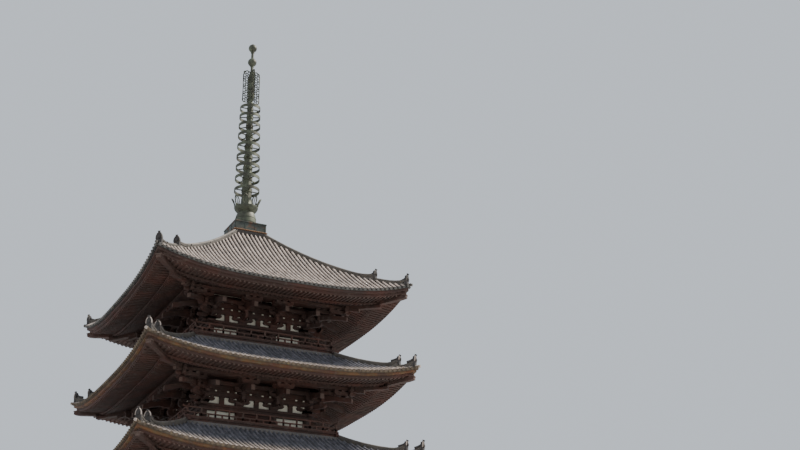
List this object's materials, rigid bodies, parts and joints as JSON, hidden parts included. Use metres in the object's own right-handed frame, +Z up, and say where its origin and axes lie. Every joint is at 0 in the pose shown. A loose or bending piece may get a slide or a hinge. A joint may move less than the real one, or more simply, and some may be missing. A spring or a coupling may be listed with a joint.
{
  "type": "five-storey timber pagoda, a scale model at 1:10",
  "caption": "Square timber pagoda at 1:10 on a stone podium, with tiled upturned roofs, bracketed eaves, railed balconies and a ringed bronze spire.",
  "frame": {"origin": "middle of the podium's foot, at ground level", "axes": "+Z up along the spire, front face towards -Y, +X to the right of the front"},
  "size_m": [1.8882, 1.8882, 5.01],
  "materials": {
    "stone": "rough dressed stone",
    "timber": "old weathered timber with traces of red",
    "plaster": "matt cream lime plaster",
    "roof_tile": "weathered grey fired-clay tiles",
    "bronze": "dark bronze with green patina"
  },
  "bodies": {
    "root": {"podium": "stone", "stairs_front": "stone", "stairs_right": "stone", "stairs_back": "stone", "stairs_left": "stone", "door_front": "timber", "door_right": "timber", "door_back": "timber", "door_left": "timber", "walls_1": "plaster", "walls_2": "plaster", "walls_3": "plaster", "walls_4": "plaster", "walls_5": "plaster", "frame_1": "timber", "frame_2": "timber", "frame_3": "timber", "frame_4": "timber", "frame_5": "timber", "brackets_1": "timber", "purlin_1": "timber", "brackets_2": "timber", "purlin_2": "timber", "brackets_3": "timber", "purlin_3": "timber", "brackets_4": "timber", "purlin_4": "timber", "brackets_5": "timber", "purlin_5": "timber", "eaves_1": "timber", "eaves_2": "timber", "eaves_3": "timber", "eaves_4": "timber", "eaves_5": "timber", "roof_1": "roof_tile", "roof_2": "roof_tile", "roof_3": "roof_tile", "roof_4": "roof_tile", "roof_5": "roof_tile", "balcony_2": "timber", "balcony_3": "timber", "balcony_4": "timber", "balcony_5": "timber", "railing_2": "timber", "railing_3": "timber", "railing_4": "timber", "railing_5": "timber", "dew_basin": "bronze", "lotus_bowls": "bronze", "ring_mast": "bronze", "water_flame": "bronze", "jewels": "bronze"}
  },
  "joints": []
}
